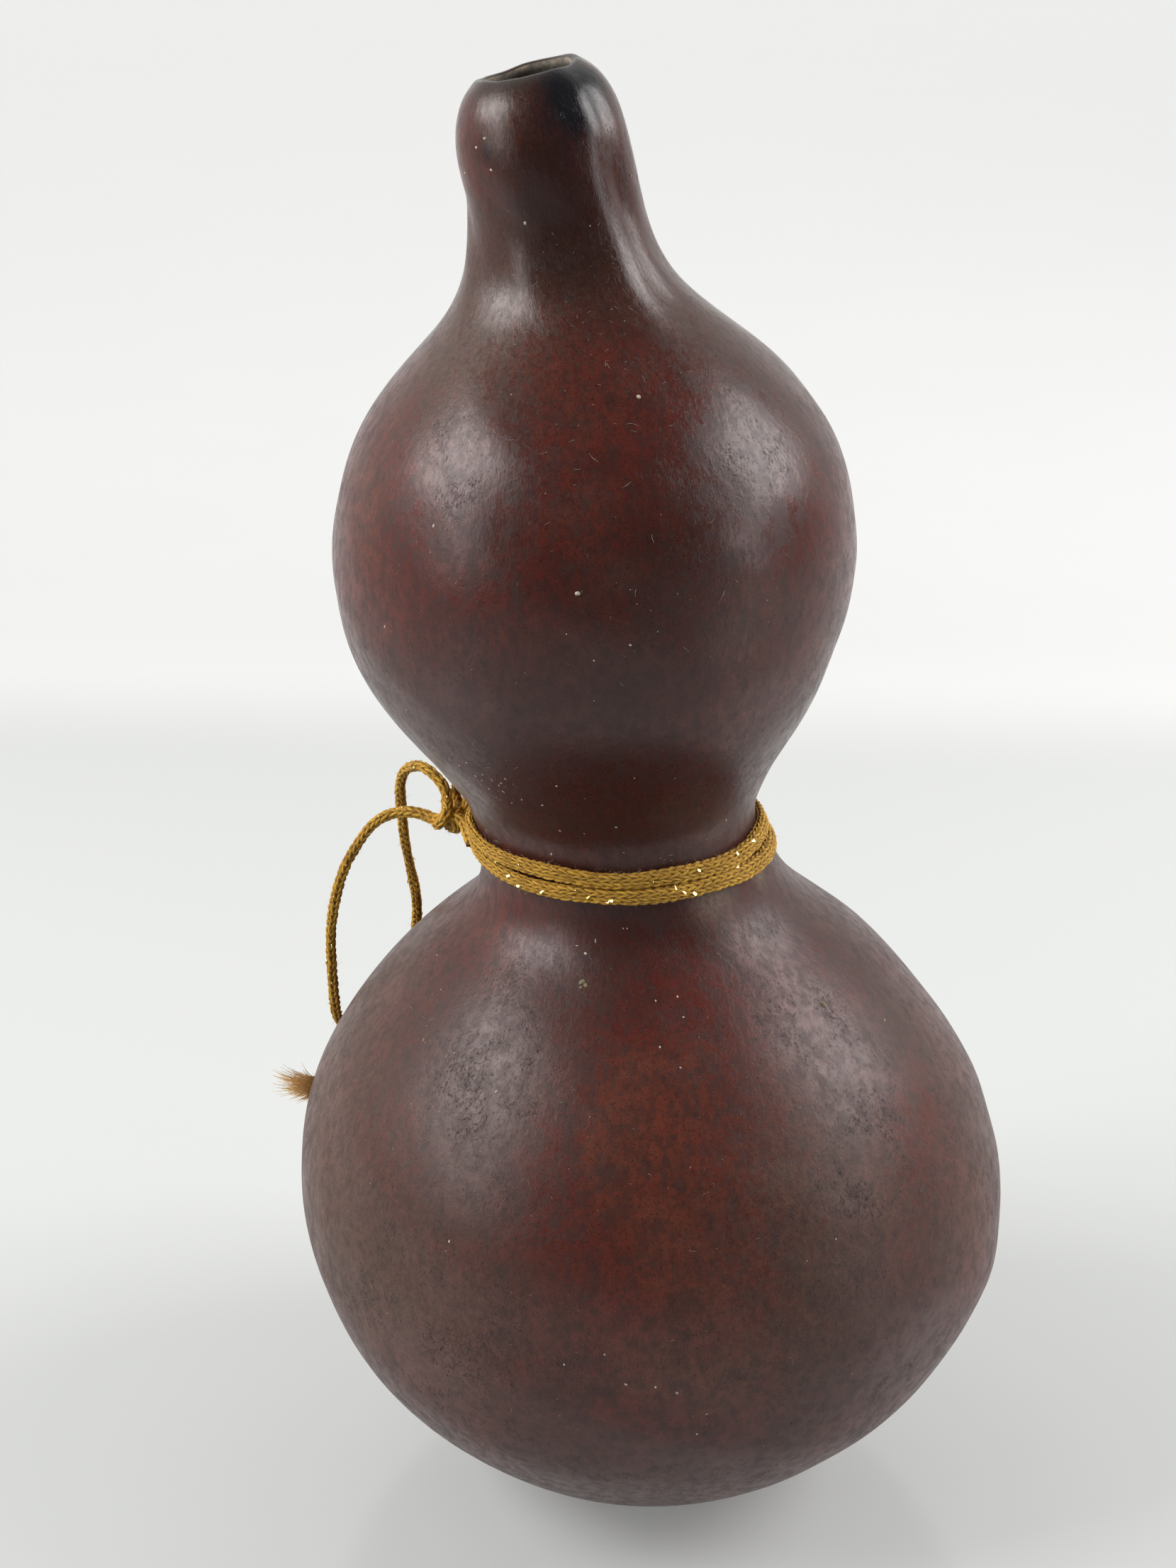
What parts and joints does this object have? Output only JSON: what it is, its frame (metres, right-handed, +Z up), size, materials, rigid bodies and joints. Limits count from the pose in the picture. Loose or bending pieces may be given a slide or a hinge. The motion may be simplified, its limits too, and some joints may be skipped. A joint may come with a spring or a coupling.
{
  "type": "dried bottle gourd",
  "caption": "Hollow two-bulb dried gourd bottle with a slanted open mouth, a braided cord tied round its waist in a bow and frayed cord ends.",
  "frame": {"origin": "middle of the flat foot that the gourd stands on", "axes": "+Z up the gourd from the foot to the mouth, +X to the right seen from the front, +Y to the back, where the bow hangs"},
  "size_m": [0.1297, 0.1264, 0.2505],
  "materials": {
    "gourd_rind": "handled satin rind, dark reddish brown with dark flecks and a thin dusty film",
    "gold_braid": "old-gold braided cord with sparse metallic threads",
    "frayed_thread": "loose dull gold-brown threads"
  },
  "bodies": {
    "root": {"gourd": "gourd_rind", "waist_turn_upper": "gold_braid", "waist_turn_lower": "gold_braid", "bow_knot": "gold_braid", "bow_loop_large": "gold_braid", "bow_loop_small": "gold_braid", "cord_tail_left": "gold_braid", "cord_tail_back": "gold_braid", "frayed_end_left": "frayed_thread", "frayed_end_back": "frayed_thread"}
  },
  "joints": []
}
